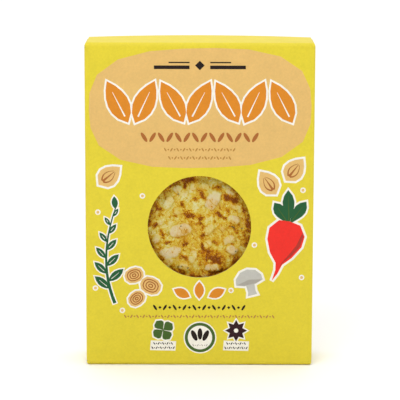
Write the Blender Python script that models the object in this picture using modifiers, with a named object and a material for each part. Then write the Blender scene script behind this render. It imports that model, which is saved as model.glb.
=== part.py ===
"""A cake of soybean tempeh in clear film, standing in a folding carton with a round window.

The carton is one blank of board: a sleeve of four panels closed by a glue flap, with a closure at
each end that hinges on the front panel, folds back and tucks in behind the back panel. The cake
stands on the flaps at the bottom, close behind the window.

Units are metres. Z is up, the window looks along -Y, and the origin is the middle of the underside.
"""

import itertools
import math
import random

import bmesh
import bpy
from mathutils import Vector, kdtree

# Driving dimensions of the carton
CARTON_WIDTH = 0.110
CARTON_HEIGHT = 0.158
CARTON_DEPTH = 0.028
BOARD = 0.0005
CLEARANCE = 0.0003
WINDOW_DIAMETER = 0.050
WINDOW_CENTRE_HEIGHT = 0.0688

# Folds, as the radius of the board's outer face
SLEEVE_FOLD = 0.0010
FRONT_FOLD = 0.0020
TUCK_FOLD = 0.0012
DUST_FOLD = 0.0008

# Flaps
TUCK_LENGTH = 0.014
TUCK_TAPER_START = 0.0084
TUCK_SHOULDER = 0.0015
TUCK_TAPER = 0.95
DUST_LENGTH = 0.020
DUST_TAPER = 0.80
GLUE_LENGTH = 0.012
CORNER_RELIEF = 0.0003
CORNER_COVER = 0.0009
TOP_CROWN = 0.00095

# Driving dimensions of the cake
CAKE_WIDTH = 0.086
CAKE_HEIGHT = 0.118
CAKE_DEPTH = 0.0215
CAKE_SETBACK = 0.0023
CAKE_ROUNDING = 0.0045
BEAN_LENGTH = 0.0110
BEAN_WIDTH = 0.0070
BEAN_PITCH = 0.0092
BEAN_RELIEF = 0.0014
BEAN_SHIFT = 0.7
BEAN_SEED = 7
BEANS_NEARBY = 6

# Fineness of the curves
FRONT_COLUMNS = 10
FOLD_STEPS = 4
WINDOW_SIDES = 72
CAKE_CELL = 0.0015
CAKE_FACES_KEPT = 0.27

# Sizes that follow from the ones above
HALF_WIDTH = CARTON_WIDTH / 2
HALF_HEIGHT = CARTON_HEIGHT / 2
HALF_DEPTH = CARTON_DEPTH / 2
LAYER = BOARD + CLEARANCE
FRONT_FLAT = HALF_WIDTH - SLEEVE_FOLD
TUCK_FACE = HALF_DEPTH - LAYER
SLEEVE_TOP = HALF_HEIGHT - FRONT_FOLD - CORNER_RELIEF
BACK_TOP = HALF_HEIGHT - TUCK_FOLD
DUST_FRONT = -HALF_DEPTH + FRONT_FOLD - CORNER_RELIEF + CLEARANCE / 2
DUST_BACK = TUCK_FACE - TUCK_FOLD
SAME = 1e-6


def arc(centre, radius, start, end, steps=FOLD_STEPS):
    """Points on an arc from one angle to another, in degrees, both ends included."""
    angles = [math.radians(start + (end - start) * i / steps) for i in range(steps + 1)]
    return [Vector((centre[0] + radius * math.cos(a), centre[1] + radius * math.sin(a))) for a in angles]


def sleeve_outline():
    """The sleeve from above, from the raw edge of the left panel round to the glue flap's end."""
    fold = SLEEVE_FOLD
    flap_fold_x = -HALF_WIDTH + LAYER + fold
    columns = [2 * FRONT_FLAT * i / FRONT_COLUMNS - FRONT_FLAT for i in range(1, FRONT_COLUMNS)]
    return [
        Vector((-HALF_WIDTH, HALF_DEPTH - BOARD)),
        Vector((-HALF_WIDTH, DUST_BACK)),
        Vector((-HALF_WIDTH, DUST_FRONT)),
        *arc((-FRONT_FLAT, fold - HALF_DEPTH), fold, 180, 270),
        *[Vector((x, -HALF_DEPTH)) for x in columns],
        *arc((FRONT_FLAT, fold - HALF_DEPTH), fold, 270, 360),
        Vector((HALF_WIDTH, DUST_FRONT)),
        Vector((HALF_WIDTH, DUST_BACK)),
        *arc((FRONT_FLAT, HALF_DEPTH - fold), fold, 0, 90),
        *arc((flap_fold_x, HALF_DEPTH - fold), fold, 90, 180),
        Vector((flap_fold_x - fold, HALF_DEPTH - fold - GLUE_LENGTH)),
    ]


def extrude_row(bm, row, step):
    """Extrudes a row of edges by one step. Returns the new row."""
    made = bmesh.ops.extrude_edge_only(bm, edges=row)["geom"]
    verts = {item for item in made if isinstance(item, bmesh.types.BMVert)}
    bmesh.ops.translate(bm, verts=list(verts), vec=step)
    return [item for item in made if isinstance(item, bmesh.types.BMEdge) and verts.issuperset(item.verts)]


def extrude_along(bm, row, path):
    """Extrudes a row of edges along a path of 3D points. Returns all the rows, the first one included."""
    rows = [row]
    for start, stop in zip(path, path[1:]):
        rows.append(extrude_row(bm, rows[-1], stop - start))
    return rows


def verts_of(edges):
    """The vertices that some edges use, each once."""
    return list({vert for edge in edges for vert in edge.verts})


def scale_row(row, axis, factor, centre=0.0):
    """Scales a row of edges along one axis about a centre."""
    for vert in verts_of(row):
        vert.co[axis] = centre + (vert.co[axis] - centre) * factor


def row_where(edges, test):
    """The edges whose two vertices both pass a test."""
    return [edge for edge in edges if all(test(vert.co) for vert in edge.verts)]


def add_sleeve(bm):
    """The upper half of the sleeve, from mid-height up. Returns its top row."""
    points = [bm.verts.new((p.x, p.y, 0.0)) for p in sleeve_outline()]
    row = [bm.edges.new(pair) for pair in zip(points, points[1:])]
    return extrude_row(bm, row, Vector((0, 0, SLEEVE_TOP)))


def add_closure(bm, sleeve_top):
    """The front fold, closure panel, tuck fold and tuck flap, hinged on the front panel.

    Returns the closure's vertices.
    """
    front = row_where(sleeve_top, lambda co: abs(co.y + HALF_DEPTH) < SAME)
    shoulder = HALF_HEIGHT - FRONT_FOLD
    hinge = extrude_row(bm, front, Vector((0, 0, shoulder - SLEEVE_TOP)))
    section = [
        *arc((FRONT_FOLD - HALF_DEPTH, shoulder), FRONT_FOLD, 180, 90),
        *arc((TUCK_FACE - TUCK_FOLD, BACK_TOP), TUCK_FOLD, 90, 0),
        Vector((TUCK_FACE, BACK_TOP - TUCK_TAPER_START)),
        Vector((TUCK_FACE, BACK_TOP - TUCK_LENGTH)),
    ]
    rows = extrude_along(bm, hinge, [Vector((0, p.x, p.y)) for p in section])
    closure = verts_of(itertools.chain(*rows))
    spread_front_fold(closure)
    narrow_tuck(closure)
    return closure


def spread_front_fold(closure):
    """Widens the front fold over the sleeve's two rounded corners, most at its foot."""
    for vert in closure:
        if vert.co.y < FRONT_FOLD - HALF_DEPTH:
            climb = (vert.co.z - HALF_HEIGHT + FRONT_FOLD) / FRONT_FOLD
            vert.co.x *= 1 + CORNER_COVER / FRONT_FLAT * math.sqrt(max(0.0, 1 - climb**2))


def narrow_tuck(closure):
    """Draws the tuck fold and flap in from the closure's sides, most at the flap's free edge."""
    shoulder_factor = 1 - TUCK_SHOULDER / FRONT_FLAT
    start = TUCK_FACE - TUCK_FOLD
    for vert in closure:
        along = max(0.0, (vert.co.y - start) / TUCK_FOLD)
        vert.co.x *= 1 + (shoulder_factor - 1) * along
        if vert.co.z < BACK_TOP - TUCK_LENGTH + SAME:
            vert.co.x *= TUCK_TAPER


def add_dust_flaps(bm, sleeve_top):
    """The flap on each side panel, folded in under the closure."""
    flap_face = HALF_HEIGHT - LAYER
    fold = arc((HALF_WIDTH - DUST_FOLD, flap_face - DUST_FOLD), DUST_FOLD, 0, 90)
    section = [Vector((HALF_WIDTH, SLEEVE_TOP)), *fold, Vector((HALF_WIDTH - DUST_LENGTH, flap_face))]
    for side in (-1, 1):
        panel = row_where(sleeve_top, lambda co: abs(co.x - side * HALF_WIDTH) < SAME)
        row = row_where(panel, lambda co: DUST_FRONT - SAME < co.y < DUST_BACK + SAME)
        rows = extrude_along(bm, row, [Vector((side * p.x, 0, p.y)) for p in section])
        scale_row(rows[-1], 1, DUST_TAPER, (DUST_FRONT + DUST_BACK) / 2)


def add_back_edge(bm, sleeve_top):
    """The last of the back panel, up to its raw edge beside the tuck fold."""
    fold_start, flap_face = HALF_DEPTH - SLEEVE_FOLD - SAME, LAYER - HALF_WIDTH - SAME
    row = row_where(sleeve_top, lambda co: co.y > fold_start and co.x > flap_face)
    extrude_row(bm, row, Vector((0, 0, BACK_TOP - SLEEVE_TOP)))


def crown_top(closure):
    """Bows the top closure up in its middle, as board does between its two ends."""
    flat_start, flat_end = FRONT_FOLD - HALF_DEPTH, TUCK_FACE - TUCK_FOLD
    for vert in closure:
        rise = min(max((vert.co.y - flat_start) / (flat_end - flat_start), 0), 1)
        vert.co.z += TOP_CROWN * rise * (1 - (vert.co.x / FRONT_FLAT) ** 2)


def material(name, colour, roughness):
    """A plain Principled material."""
    made = bpy.data.materials.new(name)
    made.use_nodes = True
    shader = made.node_tree.nodes["Principled BSDF"]
    shader.inputs["Base Color"].default_value = (*colour, 1)
    shader.inputs["Roughness"].default_value = roughness
    shader.inputs["Metallic"].default_value = 0.0
    return made


def add_object(name, bm, collection, made_of):
    """Turns a bmesh into a named object of one material."""
    mesh = bpy.data.meshes.new(name)
    bm.to_mesh(mesh)
    bm.free()
    mesh.materials.append(made_of)
    mesh.shade_smooth()
    mesh.set_sharp_from_angle(angle=math.radians(35))
    thing = bpy.data.objects.new(name, mesh)
    collection.objects.link(thing)
    return thing


def add_window_cutter(collection):
    """The round punch that cuts the window out of the front panel."""
    bpy.ops.mesh.primitive_cylinder_add(
        vertices=WINDOW_SIDES,
        radius=WINDOW_DIAMETER / 2,
        depth=6 * BOARD,
        location=(0, -HALF_DEPTH, WINDOW_CENTRE_HEIGHT),
        rotation=(math.radians(90), 0, 0),
    )
    cutter = bpy.context.object
    cutter.name = "window_cutter"
    for owner in list(cutter.users_collection):
        owner.objects.unlink(cutter)
    collection.objects.link(cutter)
    cutter.hide_render = True
    cutter.display_type = "WIRE"
    return cutter


def add_carton(collection, cutters):
    """The folded blank, as an open sheet that Solidify gives the board's thickness."""
    bm = bmesh.new()
    sleeve_top = add_sleeve(bm)
    closure = add_closure(bm, sleeve_top)
    add_dust_flaps(bm, sleeve_top)
    add_back_edge(bm, sleeve_top)
    everything = bm.verts[:] + bm.edges[:] + bm.faces[:]
    bmesh.ops.mirror(bm, geom=everything, axis="Z", merge_dist=SAME)
    crown_top(closure)
    bmesh.ops.recalc_face_normals(bm, faces=bm.faces[:])
    front = min(bm.faces, key=lambda face: face.calc_center_median().y)
    if front.normal.y > 0:
        bmesh.ops.reverse_faces(bm, faces=bm.faces[:])
    carton = add_object("carton", bm, collection, material("printed_board", (0.78, 0.63, 0.06), 0.45))
    carton.location.z = HALF_HEIGHT

    solidify = carton.modifiers.new("board thickness", "SOLIDIFY")
    solidify.thickness = BOARD
    solidify.offset = -1
    solidify.use_even_offset = True
    window = carton.modifiers.new("window", "BOOLEAN")
    window.operation = "DIFFERENCE"
    window.object = add_window_cutter(cutters)
    return carton


def block_grid(bm, size, cell):
    """A block whose faces are cut into cells of about one size."""
    bmesh.ops.create_cube(bm, size=1.0)
    bmesh.ops.scale(bm, verts=bm.verts[:], vec=size)
    for axis in range(3):
        along = [e for e in bm.edges if abs(e.verts[0].co[axis] - e.verts[1].co[axis]) > SAME]
        cuts = round(size[axis] / cell) - 1
        bmesh.ops.subdivide_edges(bm, edges=along, cuts=cuts, use_grid_fill=True)


def round_block(bm, size, radius):
    """Rounds a block's edges and corners."""
    inner = [half / 2 - radius for half in size]
    for vert in bm.verts:
        core = Vector([max(-limit, min(limit, value)) for value, limit in zip(vert.co, inner)])
        vert.co = core + (vert.co - core).normalized() * radius


def scatter_beans(size):
    """The beans just under the block's skin, each as its middle and the way it lies.

    Each sits in a cell of its own, up to half of BEAN_SHIFT of the cell away from its middle.
    """
    draw = random.Random(BEAN_SEED)
    counts = [max(2, round(extent / BEAN_PITCH)) for extent in size]
    beans = []
    for cell in itertools.product(*[range(count) for count in counts]):
        inside = all(0 < index < count - 1 for index, count in zip(cell, counts))
        shift = [0.5 + BEAN_SHIFT * draw.uniform(-0.5, 0.5) for _ in cell]
        lie = Vector([draw.gauss(0, 1) for _ in cell]).normalized()
        if not inside:
            shares = [(index + part) / count - 0.5 for index, part, count in zip(cell, shift, counts)]
            beans.append((Vector([share * extent for share, extent in zip(shares, size)]), lie))
    return beans


def dome_height(offset, normal, lie):
    """The height of one bean's low dome, from 0 at its rim to 1, at an offset from its middle."""
    offset = offset - normal * offset.dot(normal)
    lie = (lie - normal * lie.dot(normal)).normalized()
    along = 2 * offset.dot(lie) / BEAN_LENGTH
    across = 2 * offset.cross(lie).length / BEAN_WIDTH
    return math.sqrt(max(0.0, 1 - along**2 - across**2))


def press_beans(bm, size):
    """Sinks the surface between the beans, so that each stands up as a low dome."""
    beans = scatter_beans(size)
    tree = kdtree.KDTree(len(beans))
    for index, (middle, _) in enumerate(beans):
        tree.insert(middle, index)
    tree.balance()
    bm.normal_update()
    moves = []
    for vert in bm.verts:
        near = tree.find_n(vert.co, BEANS_NEARBY)
        domes = [dome_height(vert.co - middle, vert.normal, beans[index][1]) for middle, index, _ in near]
        height = max(domes)
        moves.append((vert, vert.normal * BEAN_RELIEF * (height - 1)))
    for vert, move in moves:
        vert.co += move


def add_cake(collection):
    """The pressed cake with the film drawn tight on it."""
    size = Vector((CAKE_WIDTH, CAKE_DEPTH, CAKE_HEIGHT))
    bm = bmesh.new()
    block_grid(bm, size, CAKE_CELL)
    round_block(bm, size, CAKE_ROUNDING)
    press_beans(bm, size)
    bmesh.ops.recalc_face_normals(bm, faces=bm.faces[:])
    cake = add_object("tempeh_cake", bm, collection, material("curry_tempeh", (0.55, 0.36, 0.05), 0.35))
    decimate = cake.modifiers.new("fewer faces", "DECIMATE")
    decimate.ratio = CAKE_FACES_KEPT
    stands_on = 2 * LAYER
    cake.location = (0, CAKE_SETBACK + BOARD - HALF_DEPTH + CAKE_DEPTH / 2, stands_on + CAKE_HEIGHT / 2)
    return cake


def new_collection(name):
    """A collection in the scene."""
    made = bpy.data.collections.new(name)
    bpy.context.scene.collection.children.link(made)
    return made


def main():
    for thing in list(bpy.data.objects):
        bpy.data.objects.remove(thing, do_unlink=True)
    pack = new_collection("tempeh_cake_in_carton")
    cutters = new_collection("cutters")
    add_carton(pack, cutters)
    add_cake(pack)


main()
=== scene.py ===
"""The looks of a film-wrapped tempeh cake in its printed folding carton.

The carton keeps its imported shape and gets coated, printed board. The print on the front, the back
and the two sides is thin plates, one piece for each ink and layer of a panel. The cake is replaced
by pressed soybeans in curry with flecks of herb, and by the clear film drawn tight over them.

Lengths are in metres, and names ending in _MM are in millimetres. Places in the print are in
millimetres on its panel: x to the right of the middle, z up from the underside.
"""

import itertools
import math
import random

import bpy
import numpy as np
from mathutils import Matrix, Vector


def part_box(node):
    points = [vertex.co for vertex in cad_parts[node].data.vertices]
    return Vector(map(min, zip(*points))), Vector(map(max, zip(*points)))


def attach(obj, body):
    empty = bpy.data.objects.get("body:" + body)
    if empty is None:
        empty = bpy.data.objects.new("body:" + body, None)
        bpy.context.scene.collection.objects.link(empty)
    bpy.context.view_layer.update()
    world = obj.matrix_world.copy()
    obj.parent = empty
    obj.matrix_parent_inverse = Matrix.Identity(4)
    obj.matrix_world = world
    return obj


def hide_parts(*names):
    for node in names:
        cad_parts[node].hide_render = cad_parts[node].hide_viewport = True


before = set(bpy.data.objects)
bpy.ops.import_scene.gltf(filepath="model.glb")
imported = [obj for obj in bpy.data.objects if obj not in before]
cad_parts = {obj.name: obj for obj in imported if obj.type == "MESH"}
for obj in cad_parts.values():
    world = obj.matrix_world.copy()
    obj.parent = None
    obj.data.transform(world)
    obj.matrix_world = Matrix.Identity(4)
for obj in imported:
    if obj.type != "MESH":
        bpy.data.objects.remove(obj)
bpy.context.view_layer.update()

MM = 0.001

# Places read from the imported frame
CARTON_LOW, CARTON_HIGH = (np.array(corner, float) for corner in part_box("carton"))
CAKE_LOW, CAKE_HIGH = (np.array(corner, float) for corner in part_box("tempeh_cake"))
FRONT_Y = CARTON_LOW[1]
PANEL_MIDDLE_Z = 79.0 * MM

# The round window, as it is cut in the carton
WINDOW_Z_MM = 68.8
WINDOW_RADIUS_MM = 25.0

# The camera, fitted to the carton's outline in the photograph
CAMERA_DISTANCE = 1.0
CAMERA_ELEVATION = 10.67
CAMERA_ROLL = 0.15
FOCAL_PIXELS = 2075.0
PICTURE_SIDE = 400.0
OPTICAL_CENTRE = (199.5, 206.3)
SENSOR_MM = 36.0

# A face of the carton is a cut edge if its normal has at least this much along an axis and the face
# lies this far inside the carton's box, along x, y or z
LEVEL = 0.9
CUT_EDGE_DEPTH = (0.3 * MM, 0.4 * MM, 1.5 * MM)
BARE_BOARD = "#b3a98e"

# The coated face of the board, with lumps a metre for its patterns
MOTTLE_FINE, MOTTLE_BROAD, FIBRES = 1100.0, 160.0, 2600.0
MOTTLE_SHADES = (0.945, 1.055)
FIBRE_RELIEF = 0.04 * MM
VARNISH_ROUGHNESS = (0.48, 0.60)
VARNISH_SHINE = 0.22

# Layers of ink: the height of each, how deep a plate is rooted in the board, and the small steps in
# height between plates of one layer
INK_STEP = 0.02 * MM
INK_ROOT = 0.01 * MM
INK_OFFSET = 0.0025 * MM
INK_STAGGER = 7
WELD = 0.002 * MM

INKS = {
    "yellow": "#e0cd36",
    "tan": "#e1b86e",
    "white": "#f3efe3",
    "orange": "#da8722",
    "red": "#ee2f25",
    "dark_red": "#b0352a",
    "green": "#225a33",
    "leaf_green": "#446228",
    "brown": "#a9652f",
    "pale_brown": "#b8843e",
    "dark": "#20140e",
    "maroon": "#301118",
    "grey": "#c0beb5",
    "shadow_grey": "#aaa59a",
}

# The cake's patterns, in lumps a metre
WARP_LUMPS, BROAD_LUMPS, MIDDLING_LUMPS, THREAD_LUMPS = 300.0, 150.0, 400.0, 1900.0
CRUMB_LUMPS, GRAIN_LUMPS, SPOT_LUMPS, HAIR_LUMPS = 420.0, 1450.0, 760.0, 420.0
WARP = 3.2 * MM

# How each streaky pattern leans, in degrees, and how many times longer than wide it is
THREADS_COMBED = ((48, 4.0), (-38, 4.0))
GRAINS_COMBED, SPOTS_COMBED, HAIR_COMBED = (30, 1.6), (-20, 1.7), (40, 3.0)

# The stain is how dark the curry makes the cake, from 0 to 1, and it also carries painted shade in
# the clefts round the beans and along the window's rim. The weights are those of the broad, middling,
# thread and crumb patterns in it, and of the first three in how far a bean is covered
STAIN_BASE = 0.45
STAIN_WEIGHTS = (1.4, 0.95, 1.15, 0.16)
COVER_WEIGHTS = (1.9, 2.2, 1.6)
PALE_HAIR = -0.18
DARK_GRAINS = 0.26
DARK_SPOTS = (-0.03, 0.27)
CLEAN_SKIN = -0.36
# painted shade: how much the clefts round the beans are darkened, for the shade at the beans' edges
CLEFT_SHADE = 0.09
# painted shade: this strength darkens the painted ring along the window's rim as well as the curry
# patches
PATCH_AND_RIM_SHADE_STAIN = 0.78
THREAD_COLOURS = (
    (0.03, "#ddd39a"), (0.18, "#dbca75"), (0.36, "#d6bd4c"), (0.50, "#d1ab2e"),
    (0.63, "#c89214"), (0.76, "#b9760a"), (0.88, "#a25e0a"), (1.0, "#82440c"),
)
SKIN_COLOURS = (
    (0.0, "#d9c89e"), (0.22, "#d8bf8e"), (0.42, "#d6b468"), (0.58, "#cc9c34"),
    (0.74, "#b9780c"), (0.88, "#a2600c"), (1.0, "#82460c"),
)
HERB_COLOURS = ((0.35, "#2f2f12"), (0.65, "#4b4a1e"))

# The clear film. It lies wet on the beans, so it mirrors only this share of what a sheet in air would
FILM_IOR = 1.38
FILM_MIRROR = 0.15
FILM_TINT = (0.985, 0.985, 0.975, 1)
CREASE_LUMPS, CREASES_COMBED = 420.0, (60, 3.0)


def linear(code):
    """An sRGB hex colour as linear red, green, blue and 1."""
    parts = [int(code[i:i + 2], 16) / 255 for i in (1, 3, 5)]
    return (*[p / 12.92 if p <= 0.04045 else ((p + 0.055) / 1.055) ** 2.4 for p in parts], 1.0)


def node(tree, kind, settings=None, **links):
    """Adds a shader node, sets its properties and sets or links its inputs.

    An input is named by its socket, with _ for a space, or as i0, i1 and so on by its place.
    """
    made = tree.nodes.new(kind)
    for name, value in (settings or {}).items():
        setattr(made, name, value)
    for name, value in links.items():
        by_place = name[0] == "i" and name[1:].isdigit()
        socket = made.inputs[int(name[1:])] if by_place else made.inputs[name.replace("_", " ")]
        if isinstance(value, bpy.types.NodeSocket):
            tree.links.new(value, socket)
        else:
            socket.default_value = value
    return made


def ramp(tree, factor, stops):
    """The colour of a ramp over stops of place and hex colour."""
    made = node(tree, "ShaderNodeValToRGB", i0=factor)
    steps = made.color_ramp.elements
    while len(steps) < len(stops):
        steps.new(0.5)
    for step, (place, colour) in zip(steps, stops):
        step.position = place
        step.color = linear(colour)
    return made.outputs["Color"]


def noise(tree, scale, detail=4.0, roughness=0.55, vector=None):
    """The value of a noise of so many lumps a metre, on Object coordinates or the places given."""
    place = vector or node(tree, "ShaderNodeTexCoord").outputs["Object"]
    made = node(
        tree, "ShaderNodeTexNoise", Vector=place, Scale=scale, Detail=detail, Roughness=roughness
    )
    return made.outputs["Fac"]


def combed(tree, place, lean, stretch):
    """Places drawn out along a line that leans by so many degrees, for a streaky noise."""
    made = node(
        tree, "ShaderNodeMapping", {"vector_type": "TEXTURE"},
        Vector=place, Rotation=(0, math.radians(lean), 0), Scale=(1.0, 1.0, stretch),
    )
    return made.outputs[0]


def number(tree, operation, *values):
    """A Math node's result."""
    inputs = {f"i{place}": value for place, value in enumerate(values)}
    return node(tree, "ShaderNodeMath", {"operation": operation}, **inputs).outputs[0]


def vector_math(tree, operation, *values):
    """A Vector Math node on the values given."""
    inputs = {f"i{place}": value for place, value in enumerate(values)}
    return node(tree, "ShaderNodeVectorMath", {"operation": operation}, **inputs)


def weighted(tree, total, parts, weights):
    """A total, and added to it by its weight how far each part is from a half."""
    for part, weight in zip(parts, weights):
        total = number(tree, "MULTIPLY_ADD", number(tree, "SUBTRACT", part, 0.5), weight, total)
    return total


def between(tree, value, low, high, to_low=0.0, to_high=1.0):
    """A value mapped from one range to another, and held inside it."""
    made = node(tree, "ShaderNodeMapRange", i0=value, i1=low, i2=high, i3=to_low, i4=to_high)
    return made.outputs[0]


def mix(tree, factor, a, b, blend="MIX"):
    """Two colours mixed. A colour is a socket, a hex code or linear values."""
    made = node(tree, "ShaderNodeMix", {"data_type": "RGBA", "blend_type": blend})
    for socket, value in ((made.inputs[0], factor), (made.inputs[6], a), (made.inputs[7], b)):
        if isinstance(value, bpy.types.NodeSocket):
            tree.links.new(value, socket)
        else:
            socket.default_value = linear(value) if isinstance(value, str) else value
    return made.outputs[2]


def new_material(name):
    """An empty material, with its node tree and its Principled shader."""
    made = bpy.data.materials.new(name)
    made.use_nodes = True
    return made, made.node_tree, made.node_tree.nodes["Principled BSDF"]


def set_shader(shader, **values):
    """Sets a shader's sockets, by names with _ for a space."""
    for name, value in values.items():
        socket = shader.inputs[name.replace("_", " ")]
        if isinstance(value, bpy.types.NodeSocket):
            shader.id_data.links.new(value, socket)
        else:
            socket.default_value = value


def coated_finish(tree, shader, colour):
    """The finish that board and ink share: a thin matt water-based varnish over paper fibres.

    The mottle is the uneven take of ink on the fibres, about 1 mm and 6 mm across.
    """
    fine = noise(tree, MOTTLE_FINE, detail=3.0)
    broad = noise(tree, MOTTLE_BROAD, detail=2.0)
    mottle = number(tree, "MULTIPLY_ADD", broad, 0.35, number(tree, "MULTIPLY", fine, 0.65))
    shade = between(tree, mottle, 0.32, 0.68, *MOTTLE_SHADES)
    grey = node(tree, "ShaderNodeCombineColor", i0=shade, i1=shade, i2=shade).outputs[0]
    printed = mix(tree, 1.0, colour, grey, "MULTIPLY")
    fibres = noise(tree, FIBRES, detail=2.0)
    bump = node(tree, "ShaderNodeBump", Strength=0.10, Distance=FIBRE_RELIEF, Height=fibres)
    rough = between(tree, fine, 0.3, 0.7, *VARNISH_ROUGHNESS)
    set_shader(shader, Base_Color=printed, Roughness=rough, Normal=bump.outputs[0])
    set_shader(shader, Specular_IOR_Level=VARNISH_SHINE)


def board_material():
    """Folding boxboard: printed and varnished outside, bare grey-brown fibres inside and at edges."""
    made, tree, shader = new_material("folding_boxboard")
    place = node(tree, "ShaderNodeTexCoord").outputs["Object"]
    normal = node(tree, "ShaderNodeNewGeometry").outputs["Normal"]
    middle, half = (CARTON_LOW + CARTON_HIGH) / 2, (CARTON_HIGH - CARTON_LOW) / 2
    offset = vector_math(tree, "SUBTRACT", place, tuple(middle)).outputs[0]
    # a face that looks towards the carton's middle is the inside of the board
    facing = vector_math(tree, "DOT_PRODUCT", normal, offset).outputs["Value"]
    bare = number(tree, "LESS_THAN", facing, 0.0)
    offsets = node(tree, "ShaderNodeSeparateXYZ", i0=offset).outputs
    normals = node(tree, "ShaderNodeSeparateXYZ", i0=normal).outputs
    for axis in range(3):
        level = number(tree, "GREATER_THAN", number(tree, "ABSOLUTE", normals[axis]), LEVEL)
        reach = number(tree, "ABSOLUTE", offsets[axis])
        deep = number(tree, "LESS_THAN", reach, half[axis] - CUT_EDGE_DEPTH[axis])
        bare = number(tree, "MAXIMUM", bare, number(tree, "MULTIPLY", level, deep))
    coated_finish(tree, shader, mix(tree, bare, INKS["yellow"], BARE_BOARD))
    return made


def ink_material(name):
    """Offset ink under the same varnish as the board."""
    made, tree, shader = new_material(f"offset_ink_{name}")
    coated_finish(tree, shader, linear(INKS[name]))
    return made


def pushed_about(tree):
    """Object coordinates pushed about by a soft noise, so that no pattern on them looks regular."""
    place = node(tree, "ShaderNodeTexCoord").outputs["Object"]
    warp = node(tree, "ShaderNodeTexNoise", Vector=place, Scale=WARP_LUMPS, Detail=3.0)
    warp = vector_math(tree, "SUBTRACT", warp.outputs["Color"], (0.5, 0.5, 0.5)).outputs[0]
    return vector_math(tree, "MULTIPLY_ADD", warp, (WARP,) * 3, place).outputs[0]


def thread_pattern(tree, place, broad):
    """Mould threads, which lie one way in one place and another way in the next."""
    first, second = (
        noise(tree, THREAD_LUMPS, detail=3.0, vector=combed(tree, place, *way)) for way in THREADS_COMBED
    )
    which = between(tree, broad, 0.46, 0.54)
    return number(tree, "MULTIPLY_ADD", number(tree, "SUBTRACT", second, first), which, first)


def add_flecks(tree, place, stain):
    """The stain with pale hairs, and with small and larger spots of curry that have clear edges."""
    hair = noise(tree, HAIR_LUMPS, detail=1.0, vector=combed(tree, place, *HAIR_COMBED))
    hair = number(tree, "ABSOLUTE", number(tree, "SUBTRACT", hair, 0.5))
    grains = noise(tree, GRAIN_LUMPS, detail=2.0, vector=combed(tree, place, *GRAINS_COMBED))
    spots = combed(tree, place, *SPOTS_COMBED)
    spots = noise(tree, SPOT_LUMPS, detail=3.0, roughness=0.6, vector=spots)
    stain = number(tree, "ADD", stain, between(tree, hair, 0.0, 0.02, PALE_HAIR, 0.0))
    stain = number(tree, "ADD", stain, between(tree, grains, 0.61, 0.69, 0.0, DARK_GRAINS))
    return number(tree, "ADD", stain, between(tree, spots, 0.56, 0.63, *DARK_SPOTS))


def lay_paste_and_shade(tree, stain, bean, bare, curry_and_rim_shade, middling):
    """The stain with clean bean skins, painted shade in the clefts round the beans, and the thick
    patches.
    """
    clean = number(tree, "MULTIPLY", bare, between(tree, curry_and_rim_shade, 0.0, 0.6, CLEAN_SKIN, 0.0))
    off_bean = between(tree, bean, 0.25, 0.6, 1.0, 0.0)
    # painted shade: the clefts round each bean are darkened in colour, where the beans' edges would shade
    cleft_shade = number(tree, "MULTIPLY", between(tree, bean, 0.0, 0.2, 0.0, CLEFT_SHADE), off_bean)
    # the curry amount also holds the painted shade along the window's rim, so this darkens that ring too
    patches_and_rim_shade = number(tree, "MULTIPLY", curry_and_rim_shade, between(tree, middling, 0.35, 0.6, 0.72, 1.0))
    stain = number(tree, "ADD", number(tree, "ADD", stain, clean), cleft_shade)
    return number(tree, "MULTIPLY_ADD", patches_and_rim_shade, PATCH_AND_RIM_SHADE_STAIN, stain)


def tempeh_material():
    """Soybeans bound by mould threads and rubbed with curry: soft, slightly wet, uneven in colour.

    The mesh gives three attributes: bean, 1 on a bean and 0 between; tone, one value for each
    bean; and the third, how thick the brown paste lies, with painted shade along the window's rim in it.
    """
    made, tree, shader = new_material("curry_tempeh")
    bean, tone, curry_and_rim_shade = (
        node(tree, "ShaderNodeAttribute", {"attribute_name": name}).outputs["Fac"]
        for name in ("bean", "tone", "curry_and_rim_shade")
    )
    place = pushed_about(tree)
    broad = noise(tree, BROAD_LUMPS, detail=2.0, vector=place)
    middling = noise(tree, MIDDLING_LUMPS, detail=3.0, vector=place)
    fine = thread_pattern(tree, place, broad)
    crumbs = node(tree, "ShaderNodeTexVoronoi", Vector=place, Scale=CRUMB_LUMPS).outputs["Color"]
    crumb_tone = node(tree, "ShaderNodeSeparateColor", i0=crumbs).outputs[0]

    stain = weighted(tree, STAIN_BASE, (broad, middling, fine, crumb_tone), STAIN_WEIGHTS)
    stain = add_flecks(tree, place, stain)
    bare = between(tree, weighted(tree, bean, (broad, middling, fine), COVER_WEIGHTS), 0.18, 0.92)
    # painted shade is added to the stain here, in the clefts round the beans and along the window's rim
    stain = lay_paste_and_shade(tree, stain, bean, bare, curry_and_rim_shade, middling)

    threads = ramp(tree, stain, THREAD_COLOURS)
    skins = ramp(tree, stain, SKIN_COLOURS)
    skins = mix(tree, between(tree, tone, 0.3, 0.9, 0.0, 0.65), skins, threads)
    relief = number(tree, "MULTIPLY", fine, 0.3)
    relief = number(tree, "ADD", number(tree, "MULTIPLY", middling, 0.7), relief)
    bump = node(tree, "ShaderNodeBump", Strength=0.6, Distance=0.35 * MM, Height=relief)
    set_shader(shader, Base_Color=mix(tree, bare, threads, skins), Normal=bump.outputs[0])
    set_shader(shader, Roughness=between(tree, fine, 0.3, 0.7, 0.38, 0.6), Specular_IOR_Level=0.06)
    set_shader(shader, Subsurface_Weight=0.10, Subsurface_Scale=0.8 * MM)
    return made


def herb_material():
    """Dried herb leaf, dark green to black."""
    made, tree, shader = new_material("dried_herb")
    set_shader(shader, Base_Color=ramp(tree, noise(tree, 900.0), HERB_COLOURS), Roughness=0.6)
    return made


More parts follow.
